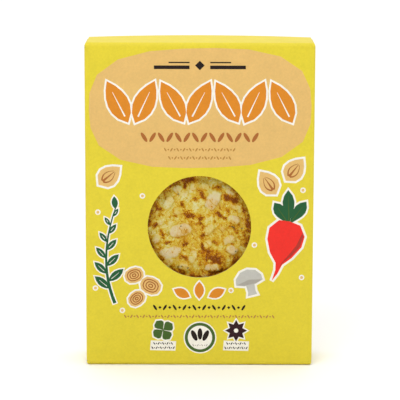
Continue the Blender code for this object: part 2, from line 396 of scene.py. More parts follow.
def film_material():
    """Clear polyamide and polyethylene vacuum film: colourless, glossy, with fine tension creases."""
    made, tree, shader = new_material("clear_vacuum_film")
    tree.nodes.remove(shader)
    place = node(tree, "ShaderNodeTexCoord").outputs["Object"]
    creases = combed(tree, place, *CREASES_COMBED)
    creases = noise(tree, CREASE_LUMPS, detail=3.0, roughness=0.5, vector=creases)
    bump = node(tree, "ShaderNodeBump", Strength=0.4, Distance=0.25 * MM, Height=creases).outputs[0]
    gloss = node(tree, "ShaderNodeBsdfGlossy", Color=(1, 1, 1, 1), Roughness=0.12, Normal=bump)
    clear = node(tree, "ShaderNodeBsdfTransparent", Color=FILM_TINT)
    mirror = node(tree, "ShaderNodeFresnel", IOR=FILM_IOR, Normal=bump).outputs[0]
    # only the outer face mirrors, because a film is too thin to turn light back from inside
    outside = number(tree, "SUBTRACT", 1.0, node(tree, "ShaderNodeNewGeometry").outputs["Backfacing"])
    mirror = number(tree, "MULTIPLY", mirror, number(tree, "MULTIPLY", outside, FILM_MIRROR))
    shown = node(tree, "ShaderNodeMixShader", i0=mirror, i1=clear.outputs[0], i2=gloss.outputs[0])
    output = next(n for n in tree.nodes if n.type == "OUTPUT_MATERIAL")
    tree.links.new(shown.outputs[0], output.inputs["Surface"])
    return made


def sweep_material():
    """Matt white studio paper."""
    made, _, shader = new_material("white_sweep")
    set_shader(shader, Base_Color=(1, 1, 1, 1), Roughness=0.9)
    return made


def deselect_all():
    """Leaves edit mode and deselects everything."""
    if bpy.context.object and bpy.context.object.mode != "OBJECT":
        bpy.ops.object.mode_set(mode="OBJECT")
    bpy.ops.object.select_all(action="DESELECT")


def select_only(thing):
    """Makes one object the only selected one, and the active one."""
    deselect_all()
    thing.select_set(True)
    bpy.context.view_layer.objects.active = thing


def add_piece(thing, name, made_of):
    """Names a finished piece and makes it ride with the pack."""
    thing.name = thing.data.name = name
    thing.data.materials.clear()
    thing.data.materials.append(made_of)
    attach(thing, "root")


# Outlines of the print, as closed lists of points in millimetres

RADISH = (
    (0, 11), (5.4, 10.2), (8.8, 5.4), (8.6, 0.0), (5.4, -6.2), (1.7, -10.6), (0.6, -15.4), (-1.2, -19.6),
    (-0.8, -14.0), (-1.6, -10.4), (-5.6, -6.0), (-8.4, 0.0), (-8.8, 5.6), (-5.2, 10.4),
)
RADISH_SHADE = (
    (7.4, 7.2), (8.2, 5.0), (7.8, 0.0), (4.8, -5.6), (1.2, -10.0), (0.4, -13.4), (3.0, -6.4), (6.0, 0.2),
)
MUSHROOM_CAP = (
    (-6.6, 0.0), (-6.2, 3.0), (-3.4, 5.8), (0.4, 6.6), (4.2, 5.4), (6.4, 2.6), (6.6, 0.0),
    (2.8, -1.2), (-2.8, -1.2),
)
MUSHROOM_STEM = ((-2.1, 0.0), (-1.8, -4.6), (-2.4, -6.4), (2.3, -6.4), (1.9, -4.6), (2.2, 0.0))
MUSHROOM_SHADE = ((-6.2, 0.2), (0, 1.5), (6.2, 0.2), (2.8, -1.0), (-2.8, -1.0))
BADGE_FIELD = ((-6.4, -2.3), (6.0, -2.6), (6.4, 2.2), (-6.0, 2.6))

# Where things stand on the front: x and z, and the turn in degrees or the size
FRIEZE_TURNS = (27, -25, 29, -27, 29, -25, 27)
ALMONDS = ((33.0, 90.5, 35), (45.6, 97.0, -38), (-43.4, 93.8, -50))
ROOT_SLICES = ((-4.6, 5.4, 9.4, 20), (3.4, 0.2, 10.4, -25), (-3.4, -6.2, 8.8, 40))
DOTS = (
    (-49, 76), (-50.4, 38.5), (-37.4, 27.4), (-27.5, 84),
    (49.8, 87), (26.6, 60), (49.6, 44), (15.4, 37.5),
)

def oval(width, height, points=24):
    """An ellipse."""
    turns = [math.tau * i / points for i in range(points)]
    return [(width / 2 * math.cos(t), height / 2 * math.sin(t)) for t in turns]


def superoval(width, height, power, points=72):
    """A box with its corners rounded far in, the more the lower the power."""
    outline = []
    for i in range(points):
        c, s = math.cos(math.tau * i / points), math.sin(math.tau * i / points)
        reach = (abs(c) ** power + abs(s) ** power) ** (-1 / power)
        outline.append((width / 2 * c * reach, height / 2 * s * reach))
    return outline


def leaf(length, width, fullest=0.45, points=9):
    """A pointed leaf that grows up from the origin."""
    side = []
    for i in range(points + 1):
        t = i / points
        bend = math.sin(math.pi * t ** (math.log(0.5) / math.log(fullest)))
        side.append((width / 2 * bend**0.85, length * t))
    return side + [(-x, z) for x, z in reversed(side[1:-1])]


def bar(width, height):
    """A rectangle about the origin."""
    w, h = width / 2, height / 2
    return [(-w, -h), (w, -h), (w, h), (-w, h)]


def star(count, outer, inner):
    """A star or flower of so many points."""
    outline = []
    for i in range(2 * count):
        reach = inner if i % 2 else outer
        turn = math.pi * i / count + math.pi / 2
        outline.append((reach * math.cos(turn), reach * math.sin(turn)))
    return outline


def stroke(route, widths):
    """A line of changing width along a route."""
    left, right = [], []
    for i, (x, z) in enumerate(route):
        before, after = route[max(i - 1, 0)], route[min(i + 1, len(route) - 1)]
        dx, dz = after[0] - before[0], after[1] - before[1]
        length = math.hypot(dx, dz)
        half = (widths[0] + (widths[1] - widths[0]) * i / (len(route) - 1)) / 2
        left.append((x - dz / length * half, z + dx / length * half))
        right.append((x + dz / length * half, z - dx / length * half))
    return left + right[::-1]


def curve_route(start, control, end, steps=8):
    """Points on a curve that leaves start towards control and arrives at end."""
    points = []
    for i in range(steps + 1):
        t = i / steps
        a, b, c = (1 - t) ** 2, 2 * t * (1 - t), t * t
        points.append(tuple(a * p + b * q + c * r for p, q, r in zip(start, control, end)))
    return points


def placed(outline, x, z, turn=0.0):
    """An outline turned counterclockwise by degrees and moved."""
    c, s = math.cos(math.radians(turn)), math.sin(math.radians(turn))
    return [(x + px * c - pz * s, z + px * s + pz * c) for px, pz in outline]


def signed_area(outline):
    """The area inside an outline, negative if it runs clockwise."""
    ahead = outline[1:] + outline[:1]
    return sum(a[0] * b[1] - b[0] * a[1] for a, b in zip(outline, ahead)) / 2


def grown(outline, margin):
    """An outline moved outwards by a margin, with its sharp corners cut short."""
    if signed_area(outline) < 0:
        outline = outline[::-1]
    result = []
    count = len(outline)
    for i in range(count):
        (ax, az), (bx, bz), (cx, cz) = outline[i - 1], outline[i], outline[(i + 1) % count]
        first = Vector((bz - az, ax - bx)).normalized()
        second = Vector((cz - bz, bx - cx)).normalized()
        middle = first + second
        if middle.length < 0.5:
            result += [(bx + way.x * margin, bz + way.y * margin) for way in (first, second)]
            continue
        middle.normalize()
        reach = min(margin / max(middle.dot(first), 0.3), 1.6 * margin)
        result.append((bx + middle.x * reach, bz + middle.y * reach))
    return result


class Print:
    """The shapes of one panel's print, gathered by ink and layer. A shape is a list of closed loops.

    Layer 1 is a broad field, 2 is paper white, 3 is the motifs and lines, and 4 and 5 lie on motifs.
    """

    def __init__(self):
        self.shapes = {}

    def add_row(self, ink, layer, loops):
        """Adds loops that don't touch one another, as one shape."""
        self.shapes.setdefault((ink, layer), []).append(loops)

    def add(self, ink, layer, outline):
        """Adds one solid outline."""
        self.add_row(ink, layer, [outline])

    def add_ring(self, ink, layer, outline, width):
        """Adds a line of some width just inside an outline."""
        self.add_row(ink, layer, [outline, grown(outline, -width)])

    def cut_out(self, ink, margin, outline):
        """Adds an outline with a paper-white border, as a cut-out picture has."""
        self.add("white", 2, grown(outline, margin))
        self.add(ink, 3, outline)


def draw_label(front):
    """The broad tan field with its frieze of leaves, rules and seeds."""
    front.add("tan", 1, placed(superoval(106.4, 57.6, 2.9, 22), 0.2, 126.6, 1.2))
    for i, turn in enumerate(FRIEZE_TURNS):
        x, z = placed([(0, -11.2)], -39.3 + 13.1 * i, 129.6, turn)[0]
        front.cut_out("orange", 0.9, placed(leaf(22.4, 10.2, points=6), x, z, turn))
        front.add("white", 4, placed(stroke([(0, 3.4), (0, 16.5)], (0.75, 0.2)), x, z, turn))
    draw_crest(front)
    draw_seeds(front, 0, 112.6, 14, 4.1)
    draw_beads(front, "pale_brown", 0, 106.6, 33, 2.0)
    draw_beads(front, "pale_brown", 0, 102.6, 29, 2.0)


def draw_crest(front):
    """A small dark diamond between pairs of rules, above the frieze."""
    front.add("dark", 3, placed(bar(3.2, 3.2), 0, 147.2, 45))
    for side in (-1, 1):
        front.add("dark", 3, placed(bar(17.0, 1.7), side * 13.4, 146.3))
        front.add("dark", 3, placed(bar(10.0, 0.6), side * 9.9, 148.6))


def draw_beads(drawn, ink, x, z, length, size):
    """A line of leaning seeds and dots by turns, about as heavy as a line of type."""
    count = 2 * round(length / size / 1.5) + 1
    beads = []
    for i in range(count):
        at = x + length * (i / (count - 1) - 0.5)
        if i % 2:
            beads.append(placed(bar(size * 0.34, size * 0.34), at, z, 45))
        else:
            beads.append(placed(oval(size * 1.05, size * 0.36, 8), at, z, 58 if i % 4 else 122))
    drawn.add_row(ink, 3, beads)


def draw_seeds(drawn, x, z, count, pitch):
    """A row of brown seeds that lean to either side by turns."""
    places = [(x + pitch * (i - (count - 1) / 2), 58 if i % 2 else 122) for i in range(count)]
    drawn.add_row("brown", 3, [placed(oval(5.4, 1.8, 12), at, z, turn) for at, turn in places])


def draw_radish(front, x, z, lean):
    """A red radish with its root and leaves."""
    foot = placed([(0, 9.4)], x, z, lean)[0]
    for turn, length in ((34, 13.0), (2, 17.0), (-36, 14.0)):
        front.cut_out("green", 0.9, placed(leaf(length, 5.8, 0.62, 6), *foot, turn))
        rib = stroke([(0, 2), (0, length - 3)], (0.55, 0.2))
        front.add("leaf_green", 4, placed(rib, *foot, turn))
    front.add("white", 2, placed(grown(RADISH, 1.1), x, z, lean))
    front.add("red", 4, placed(RADISH, x, z, lean))
    front.add("dark_red", 5, placed(RADISH_SHADE, x, z, lean))


def draw_twig(front, x, z):
    """A dark-green twig with pairs of small leaves, larger towards the foot."""
    stem = placed(curve_route((2.0, -25), (-6.5, -4), (2.5, 22), 12), x, z)
    front.cut_out("green", 0.6, stroke(stem, (1.6, 0.5)))
    for i in range(3, 12, 2):
        size = 11.5 - 0.6 * i
        for side, foot in ((-1, stem[i - 1]), (1, stem[i])):
            turn = side * -(56 - 2.0 * i)
            front.cut_out("green", 0.6, placed(leaf(size, size * 0.4, 0.5, 5), *foot, turn))
            vein = stroke([(0, 2.0), (0, size * 0.7)], (0.3, 0.12))
            front.add("white", 4, placed(vein, *foot, turn))
    front.cut_out("green", 0.6, placed(leaf(6.4, 3.0, 0.5, 5), stem[-1][0], stem[-1][1] - 0.5, 6))


def draw_almond(front, x, z, turn):
    """A tan almond with its brown lines."""
    foot = placed([(0, -6.8)], x, z, turn)[0]
    front.cut_out("tan", 1.0, placed(leaf(13.6, 9.6, 0.42, 5), *foot, turn))
    for side, width in ((-1, 0.8), (0, 1.3), (1, 0.8)):
        line = curve_route((side * 0.5, 2.6), (side * 4.0, 5.4), (side * 0.5, 10.0), 6)
        front.add("brown", 4, placed(stroke(line, (width, 0.2)), *foot, turn))


def draw_root_slices(front, x, z):
    """Three tan slices of root, each with its rings."""
    for dx, dz, size, turn in ROOT_SLICES:
        front.cut_out("tan", 0.8, placed(superoval(size, size * 0.8, 2.4, 11), x + dx, z + dz, turn))
        for share in (0.76, 0.5, 0.24):
            ring = superoval(size * share, size * 0.8 * share, 2.4, 14)
            front.add_ring("brown", 4, placed(ring, x + dx, z + dz, turn), 0.34)


def draw_mushroom(front, x, z, turn):
    """A pale mushroom with a grey shade under its cap."""
    front.cut_out("grey", 1.0, placed(MUSHROOM_STEM, x, z, turn))
    front.add("white", 2, placed(grown(MUSHROOM_CAP, 1.0), x, z, turn))
    front.add("grey", 4, placed(MUSHROOM_CAP, x, z, turn))
    front.add("shadow_grey", 5, placed(MUSHROOM_SHADE, x, z, turn))


def draw_dots(front):
    """Small tan dots with a white ring."""
    for x, z in DOTS:
        front.add("white", 2, placed(oval(2.8, 2.8, 9), x, z))
        front.add("tan", 3, placed(oval(1.5, 1.5, 8), x, z))


def draw_foot(front):
    """Three orange leaves, two lines of beads and three badges under the window."""
    for i, turn in enumerate((64, 0, -64)):
        x, z = (-4.6 + 4.6 * i, 33.2 if i == 1 else 34.2)
        front.cut_out("orange", 0.7, placed(leaf(8.6, 4.6, 0.5, 6), x, z, turn))
    draw_beads(front, "dark", 0, 28.9, 43, 3.1)
    draw_beads(front, "pale_brown", 0, 24.4, 72, 2.0)
    draw_clover_badge(front, -17.6, 14.6)
    draw_ring_badge(front, 0.4, 13.9)
    draw_flower_badge(front, 18.0, 14.6)


def draw_badge_lines(front, x, z):
    """Two short lines of dark beads on white, under a badge."""
    front.add("white", 2, placed(BADGE_FIELD, x, z))
    draw_beads(front, "dark", x, z + 1.1, 8.6, 1.5)
    draw_beads(front, "dark", x, z - 1.1, 10.4, 1.5)


def draw_clover_badge(front, x, z):
    """A green clover of four leaves."""
    for turn in (35, 125, 215, 305):
        front.cut_out("leaf_green", 0.7, placed(leaf(5.6, 5.2, 0.62, 5), x, z + 3.0, turn))
    draw_badge_lines(front, x, z - 4.8)


def draw_ring_badge(front, x, z):
    """A white disc with a green ring and three dark seeds."""
    front.add("white", 2, placed(oval(16.0, 16.0, 40), x, z))
    front.add_ring("leaf_green", 3, placed(oval(14.8, 14.8, 40), x, z), 0.9)
    for dx, turn in ((-2.8, 115), (0.0, 90), (2.8, 65)):
        front.add("dark", 3, placed(oval(5.8, 2.4, 14), x + dx, z + (1.0 if dx else 1.8), turn))
    draw_beads(front, "shadow_grey", x, z - 3.9, 6.6, 1.3)


def draw_flower_badge(front, x, z):
    """A maroon flower of eight points."""
    front.cut_out("maroon", 0.7, placed(star(8, 5.4, 3.3), x, z + 2.8))
    front.add("white", 4, placed(oval(2.2, 2.2, 12), x, z + 2.8))
    draw_badge_lines(front, x, z - 4.8)


def draw_front():
    """The whole front print."""
    front = Print()
    draw_label(front)
    draw_twig(front, -43.0, 56.0)
    draw_radish(front, 41.0, 61.0, -14)
    draw_root_slices(front, -27.0, 39.5)
    draw_mushroom(front, 24.4, 41.4, 14)
    for x, z, turn in ALMONDS:
        draw_almond(front, x, z, turn)
    draw_dots(front)
    draw_foot(front)
    return front


def draw_back():
    """The back's print: a tan field with seeds and lines, and a white field with a table of rules."""
    back = Print()
    back.add("tan", 1, placed(superoval(88, 40, 3.2, 20), 0, 127, -1.0))
    draw_seeds(back, 0, 137, 11, 5.0)
    for i in range(5):
        draw_beads(back, "dark", 0, 130 - 4.4 * i, 66 - 4 * (i % 2), 2.0)
    for i in range(6):
        draw_beads(back, "dark", 0, 96 - 4.4 * i, 84 - 6 * (i % 3 == 2), 2.0)
    back.add("white", 2, placed(bar(46, 40), -19, 42))
    back.add_row("dark", 3, [placed(bar(42, 0.4), -19, 58 - 5.3 * i) for i in range(7)])
    back.add_row("dark", 3, [placed(bar(6.0, 1.0), -3.5, 55.3 - 5.3 * i) for i in range(6)])
    for i in range(6):
        draw_beads(back, "dark", -30, 55.3 - 5.3 * i, 14 - 2 * (i % 2), 1.7)
    for i, turn in enumerate((30, 0, -30)):
        back.cut_out("orange", 0.8, placed(leaf(17, 7.6, points=6), 24 + 6.0 * i, 34, turn))
    return back


def draw_side():
    """A side's print: a tan field with leaves up the panel, over lines of beads."""
    side = Print()
    side.add("tan", 1, placed(superoval(20, 62, 3.0, 20), 0, 110))
    for i in range(4):
        lean = -1 if i % 2 else 1
        side.cut_out("orange", 0.7, placed(leaf(13, 6.0, points=6), 2.4 * lean, 84 + 13.2 * i, 24 * lean))
    for i in range(8):
        draw_beads(side, "dark", 0, 66 - 4.0 * i, 19 - 3 * (i % 3 == 1), 1.7)
    return side


def flat_piece(name, loops, height, face):
    """One printed shape, as a thin closed plate that stands so high on a face of the carton.

    A face is its distance from the middle and its turn about Z from the front, in degrees.
    """
    distance, turn = face
    flat = bpy.data.curves.new(name, "CURVE")
    flat.dimensions = "2D"
    flat.fill_mode = "BOTH"
    thickness = INK_ROOT + height
    flat.extrude = thickness / 2
    for loop in loops:
        spline = flat.splines.new("POLY")
        spline.points.add(len(loop) - 1)
        for point, (x, z) in zip(spline.points, loop):
            point.co = (x * MM, z * MM, 0, 1)
        spline.use_cyclic_u = True
    thing = bpy.data.objects.new(name, flat)
    bpy.context.scene.collection.objects.link(thing)
    select_only(thing)
    bpy.ops.object.convert(target="MESH")
    thing = bpy.context.object
    upright = Matrix.Rotation(math.radians(90), 4, "X")
    in_place = Matrix.Translation((0, INK_ROOT - thickness / 2 - distance, 0)) @ upright
    thing.data.transform(Matrix.Rotation(math.radians(turn), 4, "Z") @ in_place)
    bpy.ops.object.mode_set(mode="EDIT")
    bpy.ops.mesh.select_all(action="SELECT")
    bpy.ops.mesh.remove_doubles(threshold=WELD)
    bpy.ops.mesh.normals_make_consistent(inside=False)
    bpy.ops.object.mode_set(mode="OBJECT")
    return thing


def join_all(things):
    """Makes one object of several, which is then the active one."""
    deselect_all()
    for thing in things:
        thing.select_set(True)
    bpy.context.view_layer.objects.active = things[0]
    if len(things) > 1:
        bpy.ops.object.join()
    return bpy.context.object


def add_print():
    """Makes each ink's pieces and lays them on the front, the back and the two sides."""
    materials = {ink: ink_material(ink) for ink in INKS}
    half_width, half_depth = CARTON_HIGH[0], CARTON_HIGH[1]
    side = draw_side()
    prints = (
        ("front", draw_front(), (half_depth, 0)), ("back", draw_back(), (half_depth, 180)),
        ("right", side, (half_width, 90)), ("left", side, (half_width, -90)),
    )
    for panel, drawn, face in prints:
        for ink, layer in sorted(drawn.shapes, key=lambda plate: (plate[1], plate[0])):
            shapes = drawn.shapes[ink, layer]
            # plates that overlap differ a little in height, so no two of their faces lie in one plane
            heights = [layer * INK_STEP + i % INK_STAGGER * INK_OFFSET for i in range(len(shapes))]
            plates = [flat_piece(ink, loops, height, face) for loops, height in zip(shapes, heights)]
            add_piece(join_all(plates), f"print_{panel}_{ink}_{layer}", materials[ink])


# The cake
CAKE_MIDDLE = (CAKE_LOW + CAKE_HIGH) / 2
CAKE_SIZE = CAKE_HIGH - CAKE_LOW
CAKE_ROUNDING = 4.5 * MM
CAKE_INSET = 0.25 * MM
BEAN_RELIEF = 1.3 * MM
LEAST_SINK = 0.02 * MM
WINDOW_MARGIN_MM = 27.0

# Cuts along x, y and z, and the share of the cells in x and in z that lie behind the window
CAKE_CUTS, CAKE_CROWD = ((63, 1), (13,), (75, 1)), (108 / 128, 108 / 152)
FILM_CUTS, FILM_CROWD = ((63,), (9,), (75,)), (54 / 64, 54 / 76)

# The film lies so far off the beans, and follows this share of their relief
FILM_GAP = 0.12 * MM
FILM_CLING = 0.62

# Beans by chance: how far apart they are, how far each is shifted, and their sizes. A bean in the
# window is clean, and so pale, if it stands up far enough
BEAN_PITCH = 8.6 * MM
BEAN_SHIFT = 0.7
BEAN_LENGTHS_MM, BEAN_WIDTHS_MM, BEAN_HEIGHTS = (8.5, 11.5), (5.2, 7.2), (0.5, 1.0)
BEAN_SQUARENESS = 2.6
WINDOW_BEAN_DEPTH = 2.5 * MM
CLEAR_OF_WINDOW_MM = 2.5
CLEAN_BEAN, CLEAN_TONE = 0.9, 0.1
BEAN_SEED, HERB_SEED = 23, 4
WAVES = 14

# Painted shade just inside the window's rim, where the board shades the cake, added to the curry:
# where it starts, over what width it grows, how strong it is and where it ends
SHADE_RIM_START_MM, SHADE_RIM_WIDTH_MM, SHADE_RIM_END_MM = 22.0, 3.0, 28.0
RIM_SHADE_AMOUNT, RIM_SHADE_UNEVEN = 0.42, 0.3

# Beans in the window: x and z in millimetres from its middle, length, width, lean in degrees and how
# far each stands up
WINDOW_BEANS = (
    (6.3, 12.4, 10.4, 6.8, 60, 1.0), (-9.4, -2.2, 12.0, 6.8, 12, 1.0), (-15.0, 11.2, 8.0, 4.6, 55, 0.8),
    (-14.4, -13.6, 11.8, 6.4, 16, 0.9), (2.6, 19.4, 5.6, 3.8, -20, 0.6), (4.4, -2.0, 7.6, 4.2, 38, 0.7),
    (16.4, 3.0, 7.4, 4.4, -20, 0.7), (18.0, 9.6, 6.8, 4.4, -12, 0.6), (14.8, 17.4, 7.2, 4.6, -40, 0.7),
    (-3.2, -15.4, 7.6, 4.0, 74, 0.7), (6.8, -20.8, 9.0, 4.6, 6, 0.8), (-21.0, -6.8, 6.2, 4.0, 50, 0.7),
    (-9.0, 16.8, 9.4, 5.0, -36, 0.6), (-3.0, 19.6, 6.4, 3.6, 74, 0.6), (14.2, -7.0, 7.4, 4.8, 30, 0.7),
    (15.8, -12.0, 6.6, 4.8, -30, 0.7), (-18.6, 2.6, 6.2, 4.0, 60, 0.5), (3.6, -9.4, 6.6, 4.4, 42, 0.5),
    (-9.6, 7.4, 7.2, 4.4, 20, 0.4), (11.4, -0.8, 5.4, 3.6, 70, 0.4), (-7.6, -20.6, 6.4, 4.0, -20, 0.6),
    (-16.2, -18.8, 8.4, 5.0, 40, 0.6),
)
# Curry in the window: x, z, length, width, lean and strength
WINDOW_CURRY = (
    (-4.8, 22.6, 8.0, 3.0, -6, 0.9), (-7.0, 19.0, 1.8, 3.2, 0, 0.8), (8.8, 18.2, 6.0, 2.2, -14, 0.9),
    (13.2, 13.6, 3.6, 3.0, -30, 0.95), (16.8, 12.6, 5.0, 3.4, -40, 0.85), (-1.6, 13.0, 2.8, 2.4, 20, 0.9),
    (1.8, 14.2, 2.0, 3.6, 30, 0.8), (-20.2, 8.6, 3.0, 6.2, 24, 0.9), (-4.6, 5.2, 6.4, 3.6, -18, 0.78),
    (-0.4, 4.0, 4.2, 2.4, -20, 0.78), (10.2, 5.0, 6.2, 1.6, -38, 1.0), (-0.6, 1.2, 2.6, 2.4, 0, 0.6),
    (-18.1, -4.6, 1.8, 4.4, 18, 0.9), (-21.8, 0.2, 2.2, 2.8, 0, 0.85), (1.5, -5.2, 1.6, 3.0, -10, 0.8),
    (-8.1, -15.4, 4.0, 2.2, -28, 0.9), (4.0, -14.4, 7.4, 5.0, 4, 0.82), (9.0, -16.4, 8.4, 5.2, -28, 0.8),
    (1.6, -11.0, 1.6, 4.6, 6, 0.9), (10.6, -19.6, 3.0, 5.0, 20, 0.95), (18.2, -3.2, 3.2, 1.8, -50, 0.95),
    (23.4, -1.0, 2.6, 9.0, 0, 0.6), (-14.0, 3.4, 5.2, 3.0, 10, 0.45), (4.8, -22.9, 2.0, 1.6, 30, 0.7),
    (-22.8, -9.8, 2.0, 5.0, 30, 0.7), (13.6, 6.4, 2.0, 2.8, 0, 0.7), (-13.6, 19.6, 5.0, 1.8, 38, 0.7),
    (21.6, 7.6, 2.2, 5.0, 24, 0.7), (16.4, 0.2, 6.0, 3.0, -30, 0.5), (12.6, -22.0, 6.0, 2.4, 34, 0.9),
    (-8.4, 10.6, 2.0, 3.4, 20, 0.5), (7.0, 1.6, 1.6, 1.6, 0, 0.7), (7.6, -8.6, 3.8, 1.8, -20, 0.5),
    (-6.6, -9.6, 2.2, 2.2, 0, 0.5), (-15.2, -8.6, 7.0, 1.6, 8, 0.6), (0.4, -17.6, 1.6, 2.6, 20, 0.6),
    (-19.4, 5.4, 6.0, 5.0, 0, 0.42), (20.6, -5.4, 5.0, 7.0, 0, 0.42), (-19.6, -9.6, 5.0, 4.0, 30, 0.34),
)
# Herb flecks in the window: x, z and length
HERBS = (
    (-10.2, -20.4, 1.0), (-8.6, -20.1, 0.7), (-5.6, -20.9, 1.0), (16.2, -0.6, 2.4),
    (17.6, -12.6, 0.8), (-10.2, 15.6, 1.1), (-9.0, -0.2, 0.8), (20.6, -1.2, 0.9),
)


def vertex_array(mesh):
    """A mesh's vertices as rows of x, y, z."""
    places = np.empty(len(mesh.vertices) * 3)
    mesh.vertices.foreach_get("co", places)
    return places.reshape(-1, 3)


def subdivided_block(name, cuts):
    """A block about the origin, one metre on a side, cut across each axis in one or more rounds."""
    deselect_all()
    bpy.ops.mesh.primitive_cube_add(size=1.0, location=(0, 0, 0))
    thing = bpy.context.object
    thing.name = name
    for axis, rounds in enumerate(cuts):
        for count in rounds:
            cut_across(thing, axis, count)
    return thing


def cut_across(thing, axis, count):
    """Cuts all the edges that run along one axis into equal lengths."""
    mesh = thing.data
    ends = np.empty(len(mesh.edges) * 2, int)
    mesh.edges.foreach_get("vertices", ends)
    places = vertex_array(mesh)
    span = places[ends[1::2]] - places[ends[::2]]
    along = np.abs(span[:, axis]) > 1e-6
    select_only(thing)
    bpy.ops.object.mode_set(mode="EDIT")
    bpy.ops.mesh.select_mode(type="EDGE")
    bpy.ops.mesh.select_all(action="DESELECT")
    bpy.ops.object.mode_set(mode="OBJECT")
    mesh.edges.foreach_set("select", along)
    bpy.ops.object.mode_set(mode="EDIT")
    bpy.ops.mesh.subdivide(number_cuts=count)
    bpy.ops.object.mode_set(mode="OBJECT")


def crowd_to_window(share, half, middle, crowd):
    """Maps -0.5..0.5 to a block's side in millimetres, with most of the cells behind the window."""
    low, high = middle - WINDOW_MARGIN_MM, middle + WINDOW_MARGIN_MM
    lower = (1 - crowd) * (low + half) / (2 * half - 2 * WINDOW_MARGIN_MM)
    return np.interp(share, [-0.5, lower - 0.5, lower + crowd - 0.5, 0.5], [-half, low, high, half])


def rounded_block(thing, inset, crowd):
    """Gives the block the cake's size and rounds its edges. Returns places and normals in metres."""
    places = vertex_array(thing.data)
    half = CAKE_SIZE / MM / 2 - inset / MM
    window_from_middle = WINDOW_Z_MM - CAKE_MIDDLE[2] / MM
    places[:, 0] = crowd_to_window(places[:, 0], half[0], 0.0, crowd[0])
    places[:, 1] *= 2 * half[1]
    places[:, 2] = crowd_to_window(places[:, 2], half[2], window_from_middle, crowd[1])
    places *= MM
    core = np.clip(places, -(half * MM - CAKE_ROUNDING), half * MM - CAKE_ROUNDING)
    normals = places - core
    normals /= np.linalg.norm(normals, axis=1, keepdims=True)
    return core + normals * CAKE_ROUNDING + CAKE_MIDDLE, normals


def all_beans():
    """Every bean near the skin: its middle, the way it lies, its size, its height and its tone."""
    draw = random.Random(BEAN_SEED)
    beans = []
    for x, z, length, width, lean, height in WINDOW_BEANS:
        turn = math.radians(lean)
        middle = np.array((x * MM, CAKE_LOW[1] + WINDOW_BEAN_DEPTH, (WINDOW_Z_MM + z) * MM))
        tone = CLEAN_TONE if height >= CLEAN_BEAN else draw.random()
        lie = np.array((math.cos(turn), 0.02, math.sin(turn)))
        beans.append((middle, lie, length * MM, width * MM, height, tone))
    counts = [max(2, round(extent / BEAN_PITCH)) for extent in CAKE_SIZE]
    for cell in itertools.product(*map(range, counts)):
        shifts = [BEAN_SHIFT * draw.uniform(-0.5, 0.5) for _ in cell]
        share = [(index + 0.5 + shift) / count for index, shift, count in zip(cell, shifts, counts)]
        lie = np.array([draw.gauss(0, 1) for _ in cell])
        length, width = draw.uniform(*BEAN_LENGTHS_MM) * MM, draw.uniform(*BEAN_WIDTHS_MM) * MM
        height, tone = draw.uniform(*BEAN_HEIGHTS), draw.random()
        middle = CAKE_LOW + CAKE_SIZE * share
        from_window = math.hypot(middle[0], middle[2] - WINDOW_Z_MM * MM)
        in_window = cell[1] == 0 and from_window < (WINDOW_RADIUS_MM + CLEAR_OF_WINDOW_MM) * MM
        inside = all(0 < index < count - 1 for index, count in zip(cell, counts))
        if not in_window and not inside:
            beans.append((middle, lie / np.linalg.norm(lie), length, width, height, tone))
    return beans


def lay_beans(places, normals):
    """The height, the bean mask and the tone that the beans give at each place on the block."""
    height, mask, tone = np.zeros(len(places)), np.zeros(len(places)), np.zeros(len(places))
    ragged = 0.10 * lumpy(places, 1300.0, 11) + 0.06 * lumpy(places, 2900.0, 12)
    for middle, lie, length, width, rise, shade in all_beans():
        offset = places - middle
        depth = (offset * normals).sum(1)
        flat = offset - normals * depth[:, None]
        run = lie - normals * (normals @ lie)[:, None]
        run /= np.maximum(np.linalg.norm(run, axis=1, keepdims=True), 1e-6)
        along = (flat * run).sum(1)
        across = np.linalg.norm(flat - run * along[:, None], axis=1)
        reach = np.abs(2 * along / length) ** BEAN_SQUARENESS
        reach = reach + (2 * across / width) ** BEAN_SQUARENESS + ragged
        # one cheek of a split bean is a little higher than the other
        tilt = 1 + 0.25 * along / length
        dome = rise * tilt * np.clip(1 - reach, 0, 1) ** 0.42
        dome[(depth < -1 * MM) | (depth > 7 * MM)] = 0
        higher = dome > height
        height[higher] = dome[higher]
        tone[higher] = shade
        mask = np.maximum(mask, rise * np.clip((1 - reach) * 1.7, 0, 1) * (dome > 0))
    return height, mask, tone


def lumpy(places, scale, seed):
    """A smooth random value about 0 at each place, from a few crossing waves."""
    draw = random.Random(seed)
    value = np.zeros(len(places))
    for _ in range(WAVES):
        way = np.array([draw.gauss(0, 1) for _ in range(3)])
        value += np.sin(places @ way * scale + draw.uniform(0, math.tau))
    return value / WAVES**0.5


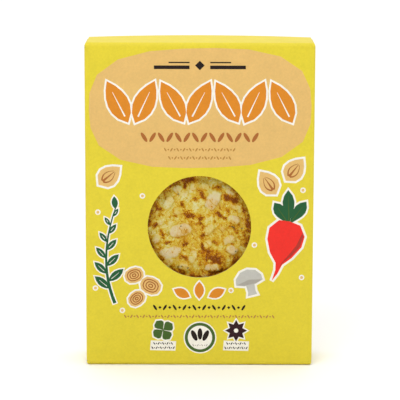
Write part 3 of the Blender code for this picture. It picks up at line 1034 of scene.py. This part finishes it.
def paste_and_rim_shade_amount(places, mask):
    """How thick the curry lies in the window's patches and elsewhere by chance, and painted shade at the
    window's rim.
    """
    amount = np.zeros(len(places))
    behind = places[:, 1] < CAKE_LOW[1] + CAKE_ROUNDING
    ragged = 0.5 * lumpy(places, 1500.0, 5) + 0.35 * lumpy(places, 3200.0, 6)
    for x, z, length, width, lean, strength in WINDOW_CURRY:
        dx, dz = places[:, 0] - x * MM, places[:, 2] - (WINDOW_Z_MM + z) * MM
        turn = math.radians(lean)
        along = (dx * math.cos(turn) + dz * math.sin(turn)) / (length * MM / 2)
        across = (dz * math.cos(turn) - dx * math.sin(turn)) / (width * MM / 2)
        reach = np.hypot(along, across) + 0.42 * ragged
        amount = np.maximum(amount, strength * np.clip(1.25 - 0.8 * reach, 0, 1) * behind)
    from_window = np.hypot(places[:, 0], places[:, 2] - WINDOW_Z_MM * MM)
    # painted shade: a darker ring just inside the window's rim, where the board shades the cake, laid in
    # as curry
    painted_rim_shade = np.clip((from_window / MM - SHADE_RIM_START_MM) / SHADE_RIM_WIDTH_MM, 0, 1)
    painted_rim_shade = painted_rim_shade * (RIM_SHADE_AMOUNT + RIM_SHADE_UNEVEN * lumpy(places, 700.0, 9))
    amount = np.maximum(amount, painted_rim_shade * behind * (from_window < SHADE_RIM_END_MM * MM))
    elsewhere = np.clip((from_window / MM - WINDOW_RADIUS_MM + 1) / 2, 0, 1)
    elsewhere[~behind] = 1.0
    chance = np.clip(0.9 * lumpy(places, 520.0, 8) + 0.4 * ragged - 0.65, 0, 1)
    return np.maximum(amount, chance * elsewhere * (1 - 0.7 * mask))


def set_places(thing, places):
    """Moves an object's vertices to new places and shades it smooth."""
    thing.data.vertices.foreach_set("co", places.ravel())
    thing.data.update()
    select_only(thing)
    bpy.ops.object.shade_smooth()


def add_cake():
    """The pressed cake itself."""
    cake = subdivided_block("tempeh", CAKE_CUTS)
    places, normals = rounded_block(cake, CAKE_INSET, CAKE_CROWD)
    height, mask, tone = lay_beans(places, normals)
    curry_and_rim_shade = paste_and_rim_shade_amount(places, mask)
    crumb = 0.12 * lumpy(places, 1900.0, 3) + 0.10 * lumpy(places, 4200.0, 4)
    depth = BEAN_RELIEF * (height - 1) * (1 - 0.25 * np.clip(curry_and_rim_shade, 0, 1))
    depth = np.minimum(depth + MM * crumb * (1 - 0.6 * mask), -LEAST_SINK)
    # the curry attribute holds the painted shade along the window's rim as well as the paste
    for name, values in (("bean", mask), ("tone", tone), ("curry_and_rim_shade", curry_and_rim_shade)):
        layer = cake.data.attributes.new(name, "FLOAT", "POINT")
        layer.data.foreach_set("value", values.astype(np.float32))
    set_places(cake, places + normals * depth[:, None])
    add_piece(cake, "tempeh", tempeh_material())


def add_herbs():
    """Flecks of dried herb on the cake, each a thin bent chip."""
    chips = []
    draw = random.Random(HERB_SEED)
    for x, z, length in HERBS:
        deselect_all()
        bpy.ops.mesh.primitive_uv_sphere_add(segments=8, ring_count=5, radius=0.5 * MM)
        chip = bpy.context.object
        chip.scale = (length, 0.35, 0.5)
        chip.rotation_euler = (0, draw.uniform(-0.5, 0.5), 0)
        chip.location = (x * MM, CAKE_LOW[1] + draw.uniform(0.3, 0.6) * MM, (WINDOW_Z_MM + z) * MM)
        bpy.ops.object.transform_apply(location=True, rotation=True, scale=True)
        chips.append(chip)
    herbs = join_all(chips)
    bpy.ops.object.shade_smooth()
    add_piece(herbs, "herbs", herb_material())


def add_film():
    """The clear film, drawn down between the beans but not all the way."""
    film = subdivided_block("film", FILM_CUTS)
    places, normals = rounded_block(film, 0.0, FILM_CROWD)
    height, _, _ = lay_beans(places, normals)
    set_places(film, places + normals * (FILM_GAP + FILM_CLING * BEAN_RELIEF * (height - 1))[:, None])
    smooth = film.modifiers.new("drawn tight", "SMOOTH")
    smooth.factor, smooth.iterations = 0.5, 2
    bpy.ops.object.modifier_apply(modifier=smooth.name)
    add_piece(film, "film", film_material())
    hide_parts("tempeh_cake")


def dress_carton():
    """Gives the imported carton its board."""
    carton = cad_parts["carton"]
    board = board_material()
    for held in carton.material_slots:
        held.material = board
    if not carton.material_slots:
        carton.data.materials.append(board)


def add_camera():
    """A long lens in front of the carton, a little above it."""
    tilt, roll = math.radians(CAMERA_ELEVATION), math.radians(CAMERA_ROLL)
    camera = bpy.data.cameras.new("camera")
    camera.sensor_width = SENSOR_MM
    camera.lens = FOCAL_PIXELS / PICTURE_SIDE * SENSOR_MM
    camera.shift_x = 0.5 - OPTICAL_CENTRE[0] / PICTURE_SIDE
    camera.shift_y = OPTICAL_CENTRE[1] / PICTURE_SIDE - 0.5
    camera.clip_start, camera.clip_end = 0.05, 20.0
    holder = bpy.data.objects.new("camera", camera)
    aim = Vector((0, FRONT_Y, PANEL_MIDDLE_Z))
    holder.location = aim + CAMERA_DISTANCE * Vector((0, -math.cos(tilt), math.sin(tilt)))
    turn = Matrix.Rotation(math.pi / 2 - tilt, 3, "X") @ Matrix.Rotation(roll, 3, "Z")
    holder.rotation_euler = turn.to_euler()
    bpy.context.scene.collection.objects.link(holder)
    bpy.context.scene.camera = holder


def add_softbox(name, place, aim, size, power):
    """A square area light that looks at a point."""
    light = bpy.data.lights.new(name, "AREA")
    light.shape, light.size, light.energy = "SQUARE", size, power
    holder = bpy.data.objects.new(name, light)
    holder.location = place
    holder.rotation_euler = (Vector(aim) - Vector(place)).to_track_quat("-Z", "Y").to_euler()
    bpy.context.scene.collection.objects.link(holder)


def surround():
    """A white room that is dimmer on the camera's side, and plain white where it is seen directly."""
    world = bpy.data.worlds.new("surround")
    world.use_nodes = True
    tree = world.node_tree
    place = node(tree, "ShaderNodeTexCoord").outputs["Generated"]
    way = node(tree, "ShaderNodeSeparateXYZ", i0=place).outputs
    behind = between(tree, way[1], -0.75, 0.15, 0.15, 0.9)
    overhead = between(tree, way[2], 0.3, 0.7, 0.0, 1.02)
    seen = node(tree, "ShaderNodeLightPath").outputs["Is Camera Ray"]
    strength = number(tree, "MAXIMUM", number(tree, "MAXIMUM", behind, overhead), seen)
    sky = tree.nodes["Background"]
    sky.inputs["Color"].default_value = (1, 1, 1, 1)
    tree.links.new(strength, sky.inputs["Strength"])
    return world


def add_studio():
    """A white floor, soft lights above the camera, at the side and over the back, and a white room."""
    deselect_all()
    bpy.ops.mesh.primitive_grid_add(x_subdivisions=2, y_subdivisions=2, size=12.0, location=(0, 0, 0))
    floor = bpy.context.object
    floor.name = "floor"
    floor.data.materials.append(sweep_material())
    add_softbox("key", (-0.10, -0.42, 0.62), (0, FRONT_Y, 0.12), 0.35, 1.7)
    add_softbox("side", (0.75, -0.80, 0.35), (0, 0, 0.08), 0.5, 0.7)
    add_softbox("backdrop", (0, 1.7, 1.4), (0, 1.1, 0), 1.4, 5.0)
    bpy.context.scene.world = surround()
    bpy.context.scene.view_settings.view_transform = "Standard"


def main():
    add_camera()
    add_studio()
    dress_carton()
    add_print()
    add_cake()
    add_herbs()
    add_film()


main()
